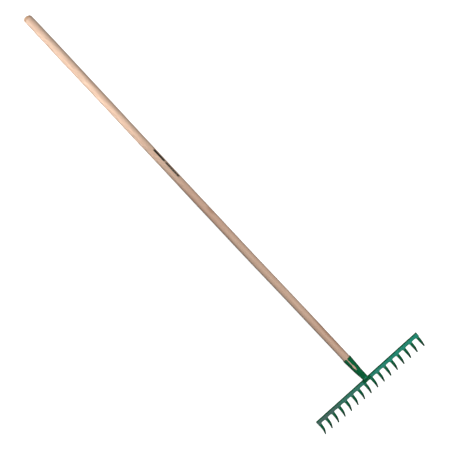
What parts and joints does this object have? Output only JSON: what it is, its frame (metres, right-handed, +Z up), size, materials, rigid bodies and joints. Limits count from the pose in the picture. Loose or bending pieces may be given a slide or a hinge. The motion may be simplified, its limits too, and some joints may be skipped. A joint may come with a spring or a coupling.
{
  "type": "garden rake",
  "caption": "Level-head garden rake: long turned wooden handle in a rolled steel socket, welded to a pressed green steel head with a row of curved teeth.",
  "frame": {"origin": "on the floor under the middle of the whole rake, which lies on its back with the teeth up", "axes": "+X along the head, +Y from the handle's top end towards the teeth, +Z up, the way the teeth point"},
  "size_m": [0.418, 1.5788, 0.0484],
  "materials": {
    "beech": "sanded, unvarnished",
    "socket_enamel": "gloss green enamel",
    "head_enamel": "gloss green enamel",
    "weld_enamel": "green enamel over a weld bead",
    "zinc": "zinc plated"
  },
  "bodies": {
    "root": {"handle": "beech", "socket": "socket_enamel", "rake_head": "head_enamel", "weld_bead_left": "weld_enamel", "weld_bead_right": "weld_enamel", "weld_bead_front": "weld_enamel", "fixing_screw": "zinc"}
  },
  "joints": []
}
